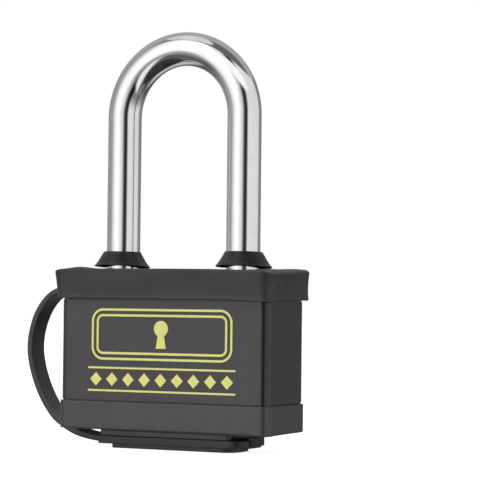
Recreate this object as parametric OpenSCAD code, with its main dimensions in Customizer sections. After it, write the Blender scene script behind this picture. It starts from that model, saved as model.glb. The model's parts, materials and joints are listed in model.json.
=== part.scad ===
// Weatherproof long-shackle padlock: a cast block in a plastic sleeve, a soft top cap with a
// strap that carries the keyway cover, and a key cylinder that drives a single latch bolt.
// +X is to the right of the front face, the front looks along -Y, +Z is up. The origin lies under
// the middle of the body, on the flat pad that the lock stands on.

/* [Body] */
// Width of the sleeve
body_w = 62; // [56:0.2:75]
// Depth of the sleeve
body_d = 22.5; // [22:0.5:27]
// Height of the cast block
block_h = 40; // [36:0.5:48]
// Wall of the sleeve
sleeve_wall = 1.2; // [0.9:0.1:1.6]
// Radius of the upright edges of the sleeve
edge_r = 2.4; // [1.8:0.1:4]

/* [Shackle] */
// Diameter of the shackle rod
rod_d = 9; // [7.5:0.1:10.8]
// Distance between the two leg axes
leg_pitch = 36.3; // [33:0.01:43.6]
// Height of the inside of the bow above the top cap
shackle_clear = 54.2; // [25:0.1:70]
// Length of the toe leg below its notch
toe_below = 2.7; // [2:0.1:3.5]
// How far the toe leg's end stands above the cap when the shackle is up
toe_rise = 1.5; // [0.5:0.1:3]

/* [Top cap] */
// Thickness of the cap's roof
cap_roof = 1.6; // [1.2:0.1:2.4]
// Depth of the skirt below the top of the block
cap_skirt = 6.6; // [4:0.1:9]
// How far the skirt stands proud of the sleeve at its hem
cap_proud = 1.3; // [0.8:0.1:2]
// How much more the cap stands proud at its top
cap_flare = 0.6; // [0:0.1:1]

/* [Bottom cap and cover] */
// Thickness of the bottom cap's floor
floor_t = 1.25; // [1:0.05:2]
// Height of the bottom cap's skirt above the foot of the block
base_skirt = 6.2; // [4:0.1:9]
// How far the bottom cap stands proud of the sleeve
base_proud = 0.5; // [0.4:0.1:1.2]
// Distance from the middle of the keyway to the left end of the boss
boss_reach = 20.7; // [19:0.1:23]
// Depth of the boss around the keyway
boss_d = 14; // [13:0.1:16]
// Height of the boss
boss_h = 1.85; // [1.5:0.05:3]
// Thickness of the cover plate
cover_t = 2.15; // [1.6:0.05:3]
// Thickness of the pad under the cover plate
pad_t = 1.15; // [0.8:0.05:2]
// Distance from the ends of the cover plate to the ends of its pad
pad_inset = 3.6; // [2:0.1:6]
// How far the pull tab reaches beyond the cover plate
tab_len = 1.4; // [1:0.1:5]
// Radius of the plug that seals the keyway
plug_r = 5; // [4:0.1:6]

/* [Key cylinder] */
// Radius of the core
core_r = 6.25; // [6:0.05:7.5]
// Wall of the cylinder housing
housing_wall = 2.2; // [2:0.1:2.4]
// Thickness of a vane
vane_t = 0.9; // [0.7:0.1:1.2]
// How far the vanes travel
vane_travel = 0.8; // [0.6:0.1:0.9]

/* [Latch] */
// Radius of the latch bolt
latch_r = 3; // [2.6:0.1:3.6]
// Depth of the latch axis below the top of the block
latch_drop = 6.9; // [6:0.1:8.3]
// Distance of the drive pin from the core's axis
crank_r = 2.2; // [1.9:0.05:2.4]
// Radius of the drive pin
crank_pin_r = 1.1; // [0.9:0.05:1.2]

/* [Fits] */
// Radial gap of a running fit
run_gap = 0.08; // [0.05:0.01:0.1]
// Gap between parts that move past each other
free_gap = 0.3; // [0.2:0.05:0.35]

/* [Strap] */
// Width of the strap
strap_w = 6.6; // [4:0.1:8]
// Thickness of the strap
strap_t = 1.9; // [1.4:0.1:2.6]

/* [Hidden] */
$fn = 64;

// Heights, from the pad that the lock stands on upwards
cover_z = pad_t;
boss_z = cover_z + cover_t;
floor_z = boss_z + boss_h;
block_z = floor_z + floor_t;
block_top = block_z + block_h;
cap_top = block_top + cap_roof;
hem_z = block_top - cap_skirt;
base_top = block_z + base_skirt;

// Outlines
block_w = body_w - 2 * sleeve_wall;
block_d = body_d - 2 * sleeve_wall;
inner_edge_r = edge_r - sleeve_wall;
base_w = body_w + 2 * base_proud;
base_d = body_d + 2 * base_proud;
cap_w = body_w + 2 * (cap_proud + cap_flare);

// Shackle
rod_r = rod_d / 2;
leg_x = leg_pitch / 2;
bow_z = cap_top + shackle_clear - leg_x + rod_r;
latch_z = block_top - latch_drop;
notch_h = 2 * latch_r + 2 * free_gap;
toe_z = latch_z - notch_h / 2 - toe_below;
lift = cap_top - toe_z + toe_rise;
heel_pin_r = 1.25;
heel_pin_z = block_top - 6;
heel_pin_x = -leg_x + rod_r + 0.25;
heel_cut = 1 + free_gap;
neck_z = heel_pin_z - lift - heel_pin_r - 0.1;
neck_h = 2 * heel_pin_r + 0.5;
heel_z = neck_z - 3.05;
heel_bore_z = block_z + 7;
seal_gap = 0.3;
seal_z = cap_top + seal_gap;
seal_h = 4.2;
seal_top_r = rod_r + 0.65;
seal_foot_r = rod_r + 3;

// Key cylinder
vane_count = 6;
plate_t = 1;
core_z = block_z + plate_t + 0.1;
core_top = latch_z - latch_r - 4;
core_h = core_top - core_z;
core_bore_r = core_r + run_gap;
housing_r = core_r + housing_wall;
housing_z = block_z + plate_t;
housing_pin_r = 1;
housing_pin_x = housing_r + 0.5;
housing_pin_z = block_z + 8;
housing_top = core_top - 0.4;
keyway_t = 2.3;
vane_depth = 5.2;
vane_w = 2 * sqrt(pow(core_r - run_gap, 2) - pow(vane_depth / 2, 2));
vane_z = core_z + 4;
vane_pitch = (core_h - 7) / vane_count;
keyway_w = vane_w - 3.4;
vane_gap = 0.1;
ear_w = 1.3;
ear_len = 1.2;
spring_wire = 0.3;
spring_r = 0.6;
spring_len = 2.2;
groove_r = vane_w / 2 + vane_travel + 1;
plug_gap = 0.5;
opening_r = plug_r + plug_gap;

// Latch, drawn back at rest, with the drive pin 45 degrees behind the middle of its throw
latch_bore_r = latch_r + run_gap;
crank_x = crank_r * cos(45);
latch_throw = 2 * crank_x;
crank_top = latch_z + 1;
crank_room_r = crank_r + crank_pin_r + 0.2;
slot_gap = 0.15;
latch_tip = leg_x - rod_r - free_gap;
latch_tail = -crank_x - crank_pin_r - slot_gap - 2.2;
latch_seat = heel_pin_x + heel_pin_r + 0.65;
notch_depth = latch_throw;
plug_x = leg_x + rod_r + 1.2;

// Boss and keyway cover, square at the left end and round at the right
boss_end = boss_reach - 2.5;
boss_corner_r = 1.4;
cover_x = boss_reach + 0.5;
cover_end = boss_reach + 1.7;
cover_d = boss_d + 0.4;
cover_corner_r = 5;
pad_d = cover_d - 2.4;
pad_corner_r = 4;
tab_w = 5.6;
tab_t = 2.3;
tab_z = cover_z + 0.6;
plug_h = boss_h + floor_t - 0.4;
plug_wall = 1.6;
plug_taper = 1.2;
screw_x = (opening_r + boss_reach) / 2 + 0.9;
screw_r = 1.4;
screw_head_r = 2.6;
screw_head_h = 1.1;
screw_len = 6;

// Mark on the front: a frame of two lines around a keyhole, and a band of diamonds under it
mark_t = 0.08;
mark_w = 42;
mark_h = 13.6;
mark_r = 3.4;
mark_line = 0.6;
mark_gap = 0.9;
mark_z = (hem_z + base_top) / 2 + 4.2;
band_w = 44;
band_h = 6;
band_z = (hem_z + base_top) / 2 - 7.7;
band_line = 0.5;
diamond_count = 9;

// Strap: its centre line in the XZ plane, from the cap's left side round into the left end of the
// cover. The loop's points say how far out from the body's side each one lies, and how high
// between the cover and the cap, from 0 to 1. The points under the body say how far along they lie
// from the body's side to the cover, from 0 to 1, and how high above the cover's end.
strap_top = hem_z + 2.2;
strap_foot = boss_z - 1.1;
strap_loop = [
    [0.6, 1], [3.9, 1], [7, 0.985], [9.8, 0.935], [12.2, 0.857], [13.8, 0.766], [14.7, 0.668],
    [14.8, 0.573], [14.1, 0.477], [12.8, 0.38], [11.1, 0.289], [9, 0.206], [6.5, 0.133]];
strap_under = [[-0.327, 3.1], [0.01, 1.5], [0.37, 0.6], [0.7, 0.12], [1, 0]];
strap_route = concat(
    [for (p = strap_loop) [-body_w / 2 - p[0], strap_foot + p[1] * (strap_top - strap_foot)]],
    [for (p = strap_under) [-body_w / 2 + p[0] * (body_w / 2 - cover_x), strap_foot + p[1]]]);

// A rectangle with round corners, centred, drawn from exact pieces
module round_rect(w, d, r) {
    square([w - 2 * r, d], center = true);
    square([w, d - 2 * r], center = true);
    for (sx = [-1, 1], sy = [-1, 1])
        translate([sx * (w / 2 - r), sy * (d / 2 - r)]) circle(r);
}

// A plate that is square at its left end x0 and round at its right end x1
module tongue(x0, x1, d, r) {
    translate([x0, -d / 2]) square([x1 - r - x0, d]);
    translate([x0, -d / 2 + r]) square([x1 - x0, d - 2 * r]);
    for (sy = [-1, 1]) translate([x1 - r, sy * (d / 2 - r)]) circle(r);
}

module round_block(w, d, h, r) {
    linear_extrude(h) round_rect(w, d, r);
}

// A round rod along +Z with a chamfer at its far end
module chamfered_rod(r, len, chamfer) {
    rotate_extrude() polygon([[0, 0], [r, 0], [r, len - chamfer], [r - chamfer, len], [0, len]]);
}

// A coil spring drawn as a tube with a turn cut at each coil
module spring_tube(r, wire, len, turns) {
    coil = len / turns * 0.6;
    rotate_extrude() {
        for (i = [0:turns - 1]) translate([r - wire, i * (len - coil) / (turns - 1)])
            square([wire, coil]);
        translate([r - wire, 0]) square([wire * 0.5, len]);
    }
}

module shackle() {
    color("silver") difference() {
        union() {
            translate([0, 0, bow_z]) rotate([90, 0, 0])
                rotate_extrude(angle = 180) translate([leg_x, 0]) circle(rod_r);
            translate([-leg_x, 0, bow_z]) mirror([0, 0, 1]) chamfered_rod(rod_r, bow_z - heel_z, 0.6);
            translate([leg_x, 0, bow_z]) mirror([0, 0, 1]) chamfered_rod(rod_r, bow_z - toe_z, 1);
        }
        // Flat and neck on the heel leg that ride past the heel pin
        translate([-leg_x + rod_r - heel_cut, -rod_r - 1, neck_z + neck_h])
            cube([heel_cut + 1, rod_d + 2, heel_pin_z + heel_pin_r + free_gap - neck_z - neck_h]);
        translate([-leg_x, 0, neck_z]) difference() {
            cylinder(r = rod_r + 1, h = neck_h);
            translate([0, 0, -1]) cylinder(r = rod_r - heel_cut, h = neck_h + 2);
        }
        // Notch on the toe leg for the latch
        translate([leg_x - rod_r - 1, -rod_r - 1, latch_z - notch_h / 2])
            cube([notch_depth + 1, rod_d + 2, notch_h]);
    }
}

module shackle_seal(x) {
    color("#2c2c2e") translate([x, 0, seal_z]) difference() {
        union() {
            cylinder(r = seal_foot_r, h = 0.5);
            translate([0, 0, 0.5]) cylinder(r1 = seal_foot_r, r2 = seal_top_r, h = seal_h - 0.5);
        }
        translate([0, 0, -1]) cylinder(r = rod_r, h = seal_h + 2);
    }
}

module shackle_seal_left() { shackle_seal(-leg_x); }
module shackle_seal_right() { shackle_seal(leg_x); }

module top_cap() {
    proud = cap_proud + cap_flare;
    color("#454546") difference() {
        hull() {
            translate([0, 0, hem_z])
                round_block(body_w + 2 * cap_proud, body_d + 2 * cap_proud, 0.1, edge_r + 0.6, $fn = 32);
            translate([0, 0, cap_top - 3])
                round_block(cap_w, body_d + 2 * proud, 3, edge_r + 1, $fn = 32);
        }
        translate([0, 0, hem_z - 1]) round_block(body_w, body_d, cap_skirt + 1, edge_r);
        for (x = [-leg_x, leg_x])
            translate([x, 0, block_top - 1]) cylinder(r = rod_r + free_gap, h = cap_roof + 2);
    }
}

// A ribbon of rectangular section swept along the route in the XZ plane
module strap() {
    n = len(strap_route);
    function tangent(i) =
        i == 0 || i == n - 1 ? [1, 0] * (i == 0 ? -1 : 1)
        : (strap_route[i + 1] - strap_route[i - 1]) / norm(strap_route[i + 1] - strap_route[i - 1]);
    function side(i, s) =
        strap_route[i] + s * strap_t / 2 * [-tangent(i)[1], tangent(i)[0]];
    outline = concat([for (i = [0:n - 1]) side(i, 1)], [for (i = [n - 1:-1:0]) side(i, -1)]);
    color("#29292b") translate([0, strap_w / 2, 0]) rotate([90, 0, 0])
        linear_extrude(strap_w) polygon(outline);
}

module body_shell() {
    color("#2b272c") translate([0, 0, block_z]) difference() {
        round_block(body_w, body_d, block_h, edge_r);
        translate([0, 0, -1]) round_block(block_w, block_d, block_h + 2, inner_edge_r);
    }
}

module mark_ring(grow) {
    difference() {
        round_rect(mark_w - 2 * grow, mark_h - 2 * grow, mark_r - grow);
        round_rect(mark_w - 2 * (grow + mark_line), mark_h - 2 * (grow + mark_line),
            mark_r - grow - mark_line);
    }
}

module keyhole_sign() {
    translate([0, 1.6]) circle(2.1);
    polygon([[-0.8, 0.6], [0.8, 0.6], [1.5, -3.6], [-1.5, -3.6]]);
}

module diamond(w, h) {
    polygon([[-w / 2, 0], [0, -h / 2], [w / 2, 0], [0, h / 2]]);
}

module front_mark() {
    pitch = band_w / diamond_count;
    color("gold") translate([0, -body_d / 2, 0]) rotate([90, 0, 0]) linear_extrude(mark_t) {
        translate([0, mark_z]) {
            mark_ring(0);
            mark_ring(mark_line + mark_gap);
            keyhole_sign();
        }
        translate([0, band_z]) {
            for (sy = [-1, 1]) translate([0, sy * band_h / 2])
                square([band_w, band_line], center = true);
            for (i = [0:diamond_count - 1])
                translate([(i - (diamond_count - 1) / 2) * pitch, 0]) diamond(pitch * 0.72, band_h * 0.6);
        }
    }
}

module lock_block() {
    color("dimgray") difference() {
        translate([0, 0, block_z]) round_block(block_w, block_d, block_h, inner_edge_r);
        // Shackle bores
        translate([-leg_x, 0, heel_bore_z]) cylinder(r = rod_r + run_gap, h = block_h);
        translate([leg_x, 0, toe_z - 1]) cylinder(r = rod_r + run_gap, h = block_h);
        // Room for the key cylinder and its plate
        translate([0, 0, block_z - 1]) cylinder(r = housing_r, h = housing_top - block_z + 1);
        translate([0, 0, block_z]) cylinder(r = core_bore_r, h = core_top - block_z + 0.1);
        translate([0, 0, core_top - 0.1])
            cylinder(r = crank_room_r, h = crank_top + 0.3 - core_top + 0.1);
        // Cross bore for the latch, its spring and its plug
        translate([latch_seat, 0, latch_z]) rotate([0, 90, 0])
            cylinder(r = latch_bore_r, h = block_w / 2 - latch_seat + 1);
        // Cross holes for the two pins
        translate([heel_pin_x, block_d / 2 + 1, heel_pin_z]) rotate([90, 0, 0])
            cylinder(r = heel_pin_r, h = block_d + 2);
        housing_pin_space();
        for (x = [-screw_x, screw_x])
            translate([x, 0, block_z - 1]) cylinder(r = screw_r, h = screw_len + 1);
    }
}

module bottom_cap() {
    color("#3a3a3b") difference() {
        union() {
            translate([0, 0, floor_z]) round_block(base_w, base_d, floor_t + base_skirt, edge_r + base_proud);
            translate([0, 0, boss_z]) linear_extrude(boss_h + 0.1)
                tongue(-boss_reach, boss_end, boss_d, boss_corner_r);
        }
        translate([0, 0, block_z]) round_block(body_w, body_d, base_skirt + 1, edge_r);
        translate([0, 0, boss_z - 1]) cylinder(r = opening_r, h = boss_h + floor_t + 2);
        for (x = [-screw_x, screw_x]) translate([x, 0, boss_z]) {
            translate([0, 0, -1]) cylinder(r = screw_head_r, h = screw_head_h + 1);
            cylinder(r = screw_r, h = boss_h + floor_t + 1);
        }
    }
}

module base_screws() {
    color("gray") for (x = [-screw_x, screw_x]) translate([x, 0, boss_z + 0.15]) difference() {
        union() {
            cylinder(r = screw_head_r, h = screw_head_h - 0.15);
            cylinder(r = screw_r, h = boss_h + floor_t + screw_len - 0.5);
        }
        for (a = [0, 90]) rotate(a) translate([-1.6, -0.3, -1]) cube([3.2, 0.6, 1.6]);
    }
}

module keyway_cover() {
    color("#333334") difference() {
        union() {
            translate([0, 0, cover_z]) linear_extrude(cover_t)
                tongue(-cover_x, cover_end, cover_d, cover_corner_r);
            linear_extrude(pad_t + 0.1)
                tongue(-cover_x + pad_inset, cover_end - pad_inset, pad_d, pad_corner_r);
            translate([cover_end - 1, -tab_w / 2, tab_z]) cube([tab_len + 1, tab_w, tab_t]);
            translate([0, 0, boss_z - 0.1]) cylinder(r = plug_r, h = plug_h - plug_taper + 0.1);
            translate([0, 0, boss_z + plug_h - plug_taper])
                cylinder(r1 = plug_r, r2 = plug_r - 0.5, h = plug_taper);
        }
        translate([0, 0, boss_z]) cylinder(r = plug_r - plug_wall, h = plug_h + 1);
    }
}

module housing_pin_space() {
    translate([housing_pin_x, block_d / 2 + 1, housing_pin_z]) rotate([90, 0, 0])
        cylinder(r = housing_pin_r, h = block_d + 2);
}

module core_housing() {
    color("goldenrod") difference() {
        translate([0, 0, housing_z]) cylinder(r = housing_r, h = housing_top - housing_z);
        translate([0, 0, housing_z - 1]) cylinder(r = core_bore_r, h = core_h + 2);
        // Grooves that take the vanes in either position of the core
        for (a = [0, 90]) rotate(a)
            translate([-vane_depth / 2 - 0.2, -groove_r, vane_z - 1])
                cube([vane_depth + 0.4, 2 * groove_r, vane_count * vane_pitch + 0.5]);
        housing_pin_space();
    }
}

module housing_pin() {
    color("silver") translate([housing_pin_x, block_d / 2, housing_pin_z]) rotate([90, 0, 0])
        cylinder(r = housing_pin_r, h = block_d);
}

module drill_plate() {
    color("lightsteelblue") difference() {
        translate([0, 0, block_z]) cylinder(r = housing_r, h = plate_t);
        translate([0, 0, block_z - 1]) cylinder(r = core_r - 1.2, h = plate_t + 2);
    }
}

// The height of vane i's foot
function vane_foot(i) = vane_z + (i - 1) * vane_pitch;

module key_core() {
    color("gold") difference() {
        union() {
            translate([0, 0, core_z]) cylinder(r = core_r, h = core_h);
            translate([0, 0, block_z + 0.1]) cylinder(r = core_r - 1.4, h = plate_t);
            translate([-crank_x, crank_x, core_top - 0.1])
                cylinder(r = crank_pin_r, h = crank_top - core_top + 0.1);
        }
        // Keyway, open at the foot
        translate([-keyway_t / 2, -keyway_w / 2, block_z - 1])
            cube([keyway_t, keyway_w, vane_z + vane_count * vane_pitch - block_z + 2]);
        for (i = [1:vane_count]) translate([0, 0, vane_foot(i)]) {
            translate([-vane_depth / 2 - vane_gap, -core_r - 1, -vane_gap])
                cube([vane_depth + 2 * vane_gap, 2 * core_r + 2, vane_t + 2 * vane_gap]);
            // Pocket for the vane's ear and its spring
            translate([vane_depth / 2, -spring_len - ear_len / 2, vane_t / 2 - spring_r - vane_gap])
                cube([ear_w + 2 * vane_gap, spring_len + ear_len + vane_travel + free_gap,
                    2 * spring_r + 2 * vane_gap]);
        }
    }
}

module vane(i) {
    color("khaki") translate([0, 0, vane_foot(i)]) difference() {
        union() {
            translate([-vane_depth / 2, -vane_w / 2, 0]) cube([vane_depth, vane_w, vane_t]);
            translate([vane_depth / 2 - 0.1, -ear_len / 2, 0]) cube([ear_w + 0.1, ear_len, vane_t]);
        }
        translate([-keyway_t / 2 - 0.1, -keyway_w / 2 - 0.1, -1])
            cube([keyway_t + 0.2, keyway_w - vane_travel + 0.2, vane_t + 2]);
    }
}

module vane_springs() {
    color("silver") for (i = [1:vane_count])
        translate([vane_depth / 2 + ear_w / 2 + 0.05, -ear_len / 2 - spring_len, vane_foot(i) + vane_t / 2])
            rotate([-90, 0, 0]) spring_tube(spring_r, spring_wire, spring_len, 4);
}

module latch_bolt() {
    color("lightgray") difference() {
        translate([latch_tail, 0, latch_z]) rotate([0, 90, 0])
            chamfered_rod(latch_r, latch_tip - latch_tail, 0.9);
        // Slot for the drive pin, open at the back and below
        translate([-crank_x - crank_pin_r - slot_gap, crank_x - crank_pin_r - free_gap,
            latch_z - latch_r - 1])
            cube([2 * (crank_pin_r + slot_gap), 2 * latch_r, latch_r + 1 + 1.4]);
    }
}

module latch_spring() {
    color("silver") translate([latch_seat, 0, latch_z]) rotate([0, 90, 0])
        spring_tube(2.3, 0.5, latch_tail - latch_seat, 6);
}

module side_plug() {
    color("gray") translate([plug_x, 0, latch_z]) rotate([0, 90, 0])
        cylinder(r = latch_bore_r, h = block_w / 2 - plug_x);
}

module heel_spring() {
    color("silver") translate([-leg_x, 0, heel_bore_z])
        spring_tube(3.9, 0.8, heel_z - heel_bore_z, 6);
}

module heel_pin() {
    color("silver") translate([heel_pin_x, block_d / 2, heel_pin_z]) rotate([90, 0, 0])
        cylinder(r = heel_pin_r, h = block_d);
}

module vane_1() { vane(1); }
module vane_2() { vane(2); }
module vane_3() { vane(3); }
module vane_4() { vane(4); }
module vane_5() { vane(5); }
module vane_6() { vane(6); }

shackle();
shackle_seal_left();
shackle_seal_right();
top_cap();
strap();
body_shell();
front_mark();
lock_block();
bottom_cap();
base_screws();
keyway_cover();
core_housing();
housing_pin();
drill_plate();
key_core();
vane_springs();
latch_bolt();
latch_spring();
side_plug();
heel_spring();
heel_pin();
vane_1();
vane_2();
vane_3();
vane_4();
vane_5();
vane_6();
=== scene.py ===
"""The looks of a weatherproof long-shackle padlock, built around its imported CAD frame.

Everything is in metres in the CAD's own frame: +X right, the front looks along -Y, +Z up, and the lock
stands on z = 0. Sizes come from the boxes of the CAD nodes. MM turns a size in millimetres into metres.
"""

import json
import math

import bmesh
import bpy
from mathutils import Matrix, Vector, noise


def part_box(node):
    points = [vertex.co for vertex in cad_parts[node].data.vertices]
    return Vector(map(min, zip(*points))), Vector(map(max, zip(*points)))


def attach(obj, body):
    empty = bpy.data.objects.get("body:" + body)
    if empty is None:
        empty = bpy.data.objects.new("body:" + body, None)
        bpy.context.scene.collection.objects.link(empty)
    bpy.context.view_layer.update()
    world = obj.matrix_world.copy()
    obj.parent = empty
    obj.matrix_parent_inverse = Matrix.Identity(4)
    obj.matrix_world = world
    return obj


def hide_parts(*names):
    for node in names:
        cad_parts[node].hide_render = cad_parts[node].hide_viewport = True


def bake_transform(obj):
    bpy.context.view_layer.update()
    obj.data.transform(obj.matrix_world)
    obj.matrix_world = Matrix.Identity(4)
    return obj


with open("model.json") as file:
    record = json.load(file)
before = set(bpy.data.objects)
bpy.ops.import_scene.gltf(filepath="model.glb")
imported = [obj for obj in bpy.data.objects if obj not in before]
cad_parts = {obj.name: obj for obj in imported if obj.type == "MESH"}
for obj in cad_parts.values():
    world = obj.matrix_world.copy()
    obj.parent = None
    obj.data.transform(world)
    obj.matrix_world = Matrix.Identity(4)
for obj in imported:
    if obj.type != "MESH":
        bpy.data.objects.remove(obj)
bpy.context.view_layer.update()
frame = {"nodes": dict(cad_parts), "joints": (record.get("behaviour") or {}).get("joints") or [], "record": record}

MM = 0.001
NODES = frame["nodes"]
BOX = {name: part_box(name) for name in NODES}
JOINTS = {joint["name"]: joint for joint in frame["joints"]}

# ---------------------------------------------------------------- sizes taken from the frame
shackle_lo, shackle_hi = BOX["shackle"]
shell_lo, shell_hi = BOX["body_shell"]
cap_lo, cap_hi = BOX["top_cap"]
base_lo, base_hi = BOX["bottom_cap"]
cover_lo, cover_hi = BOX["keyway_cover"]
strap_lo, strap_hi = BOX["strap"]
seal_lo, seal_hi = BOX["shackle_seal_right"]

ROD_R = (shackle_hi.y - shackle_lo.y) / 2
LEG_X = shackle_hi.x - ROD_R
BOW_Z = shackle_hi.z - LEG_X - ROD_R
LATCH_Z = (BOX["latch_bolt"][0].z + BOX["latch_bolt"][1].z) / 2
LATCH_R = BOX["latch_bolt"][1].z - LATCH_Z
PIN_Z = (BOX["heel_pin"][0].z + BOX["heel_pin"][1].z) / 2
PIN_R = BOX["heel_pin"][1].z - PIN_Z
PIN_X = (BOX["heel_pin"][0].x + BOX["heel_pin"][1].x) / 2
LIFT = JOINTS["shackle_lift"]["range_m"][1]
LATCH_THROW = JOINTS["latch_slide"]["range_m"][1]
BODY_W, BODY_D = shell_hi.x - shell_lo.x, shell_hi.y - shell_lo.y
BODY_EDGE = 2.4 * MM
FREE_GAP = 0.3 * MM

# The camera stands this far round the lock from its front, towards the right
AZIMUTH = math.radians(26.88)
ELEVATION = math.radians(-1.748)
ROLL = math.radians(0.595)
# The seals' lips arch up most on this side, measured from +X
LIP_ARCH_SIDE = AZIMUTH - math.pi / 2


# ---------------------------------------------------------------- mesh helpers
def make_object(name, verts, faces, crease_deg=38):
    """A mesh object with outward normals, smooth except at edges sharper than crease_deg."""
    mesh = bpy.data.meshes.new(name)
    mesh.from_pydata([tuple(v) for v in verts], [], faces)
    bm = bmesh.new()
    bm.from_mesh(mesh)
    bmesh.ops.remove_doubles(bm, verts=bm.verts, dist=1e-6)
    bmesh.ops.recalc_face_normals(bm, faces=bm.faces)
    bm.to_mesh(mesh)
    bm.free()
    obj = bpy.data.objects.new(name, mesh)
    bpy.context.scene.collection.objects.link(obj)
    shade(obj, crease_deg)
    return obj


def shade(obj, crease_deg=38):
    """Smooth shading, except at edges sharper than crease_deg."""
    mesh = obj.data
    mesh.polygons.foreach_set("use_smooth", [True] * len(mesh.polygons))
    mesh.set_sharp_from_angle(angle=math.radians(crease_deg))
    mesh.update()


def stack(rings, close_ends=True, loop=False):
    """Vertices and faces of a skin over rings of equal length. loop joins the last ring to the first."""
    n = len(rings[0])
    verts = [v for ring in rings for v in ring]
    faces = []
    pairs = len(rings) if loop else len(rings) - 1
    for i in range(pairs):
        a, b = i * n, ((i + 1) % len(rings)) * n
        for k in range(n):
            m = (k + 1) % n
            faces.append((a + k, a + m, b + m, b + k))
    if close_ends and not loop:
        faces.append(tuple(range(n))[::-1])
        faces.append(tuple(range((len(rings) - 1) * n, len(rings) * n)))
    return verts, faces


def arc(cx, cy, r, a0, a1, steps):
    """Points (u, v) along an arc, angles in degrees."""
    angles = [math.radians(a0 + (a1 - a0) * k / steps) for k in range(steps + 1)]
    return [(cx + r * math.cos(a), cy + r * math.sin(a)) for a in angles]


def circle(x, y, z, r, segments):
    """Points around a level circle."""
    angles = [2 * math.pi * k / segments for k in range(segments)]
    return [Vector((x + r * math.cos(a), y + r * math.sin(a), z)) for a in angles]


def round_rect(w, d, r, z, corner=10, long_cuts=36, short_cuts=14):
    """Points around a rectangle with round corners, evenly cut along its sides, at height z."""
    r = max(r, 0.02 * MM)
    centres = [(w / 2 - r, d / 2 - r, 0), (-w / 2 + r, d / 2 - r, 90), (-w / 2 + r, -d / 2 + r, 180),
               (w / 2 - r, -d / 2 + r, 270)]
    corners = [[Vector((x, y, z)) for x, y in arc(cx, cy, r, start, start + 90, corner)]
               for cx, cy, start in centres]
    points = []
    for i, cuts in enumerate((long_cuts, short_cuts, long_cuts, short_cuts)):
        here, target = corners[i][-1], corners[(i + 1) % 4][0]
        points += corners[i]
        points += [here.lerp(target, k / cuts) for k in range(1, cuts)]
    return points


def lathe(name, profile, centre, segments=96, wobble=None, crease_deg=38):
    """Turns a closed profile of (radius, z) about a vertical line through centre."""
    rings = []
    for s in range(segments):
        a = 2 * math.pi * s / segments
        ring = []
        for r, z in profile:
            if wobble:
                r, z = wobble(r, z, a)
            ring.append(Vector((centre[0] + r * math.cos(a), centre[1] + r * math.sin(a), z)))
        rings.append(ring)
    verts, faces = stack(rings, close_ends=False, loop=True)
    return make_object(name, verts, faces, crease_deg)


def boolean(obj, cutter, operation="DIFFERENCE"):
    """Applies an exact boolean and removes the cutter."""
    mod = obj.modifiers.new("cut", "BOOLEAN")
    mod.operation = operation
    mod.solver = "EXACT"
    mod.object = cutter
    bake_modifiers(obj)
    bpy.data.objects.remove(cutter)


def bake_modifiers(obj):
    """Replaces an object's mesh by what its modifiers make of it."""
    bpy.context.view_layer.update()
    depsgraph = bpy.context.evaluated_depsgraph_get()
    mesh = bpy.data.meshes.new_from_object(obj.evaluated_get(depsgraph))
    obj.modifiers.clear()
    obj.data = mesh


def cylinder(name, x, y, z0, z1, r, segments=64):
    """An upright cylinder, used as a cutter."""
    return make_object(name, *stack([circle(x, y, z, r, segments) for z in (z0, z1)]))


def joined(name, parts):
    """One object from several that touch or overlap, kept as separate shells in one mesh."""
    bm = bmesh.new()
    for p in parts:
        bm.from_mesh(p.data)
        bpy.data.objects.remove(p)
    mesh = bpy.data.meshes.new(name)
    bm.to_mesh(mesh)
    bm.free()
    obj = bpy.data.objects.new(name, mesh)
    bpy.context.scene.collection.objects.link(obj)
    shade(obj)
    return obj


def tube(name, centreline, radius, segments):
    """A round tube along points, with frames carried along without twist."""
    rings = []
    up = Vector((0, 0, 1))
    for i, p in enumerate(centreline):
        t = (centreline[min(i + 1, len(centreline) - 1)] - centreline[max(i - 1, 0)]).normalized()
        side = t.cross(up)
        side = side.normalized() if side.length > 1e-6 else Vector((1, 0, 0))
        up = side.cross(t).normalized()
        rings.append([p + radius * (math.cos(a) * side + math.sin(a) * up)
                      for a in (2 * math.pi * k / segments for k in range(segments))])
    return make_object(name, *stack(rings))


def smooth_curve(points, steps):
    """A Catmull-Rom curve through the points."""
    out = []
    last = len(points) - 1
    for i in range(last):
        p0, p1, p2, p3 = (points[min(max(j, 0), last)] for j in range(i - 1, i + 3))
        for k in range(steps):
            t = k / steps
            out.append(0.5 * ((2 * p1) + (p2 - p0) * t + (2 * p0 - 5 * p1 + 4 * p2 - p3) * t * t
                              + (3 * p1 - p0 - 3 * p2 + p3) * t ** 3))
    out.append(points[-1].copy())
    return out


# ---------------------------------------------------------------- node trees
class Tree:
    """Short names for building a node tree. A value is a socket or a number."""

    def __init__(self, tree):
        self.tree = tree

    def new(self, kind):
        return self.tree.nodes.new("ShaderNode" + kind)

    def link(self, a, b):
        self.tree.links.new(a, b)

    def feed(self, value, socket):
        """Links a socket, or sets a number."""
        if isinstance(value, (int, float)):
            socket.default_value = value
        else:
            self.link(value, socket)

    def math(self, operation, *values):
        node = self.new("Math")
        node.operation = operation
        for value, socket in zip(values, node.inputs):
            self.feed(value, socket)
        return node.outputs[0]

    def split(self, vector):
        """The X, Y and Z of a vector socket."""
        node = self.new("SeparateXYZ")
        self.link(vector, node.inputs[0])
        return node.outputs

    def spread(self, value, low, high, from_low=0.3, from_high=0.7, curve="LINEAR"):
        """Maps from_low...from_high on to low...high, and holds the value beyond them."""
        node = self.new("MapRange")
        node.interpolation_type = curve
        ends = {"From Min": from_low, "From Max": from_high, "To Min": low, "To Max": high}
        for name, end in ends.items():
            node.inputs[name].default_value = end
        self.link(value, node.inputs["Value"])
        return node.outputs["Result"]


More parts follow.
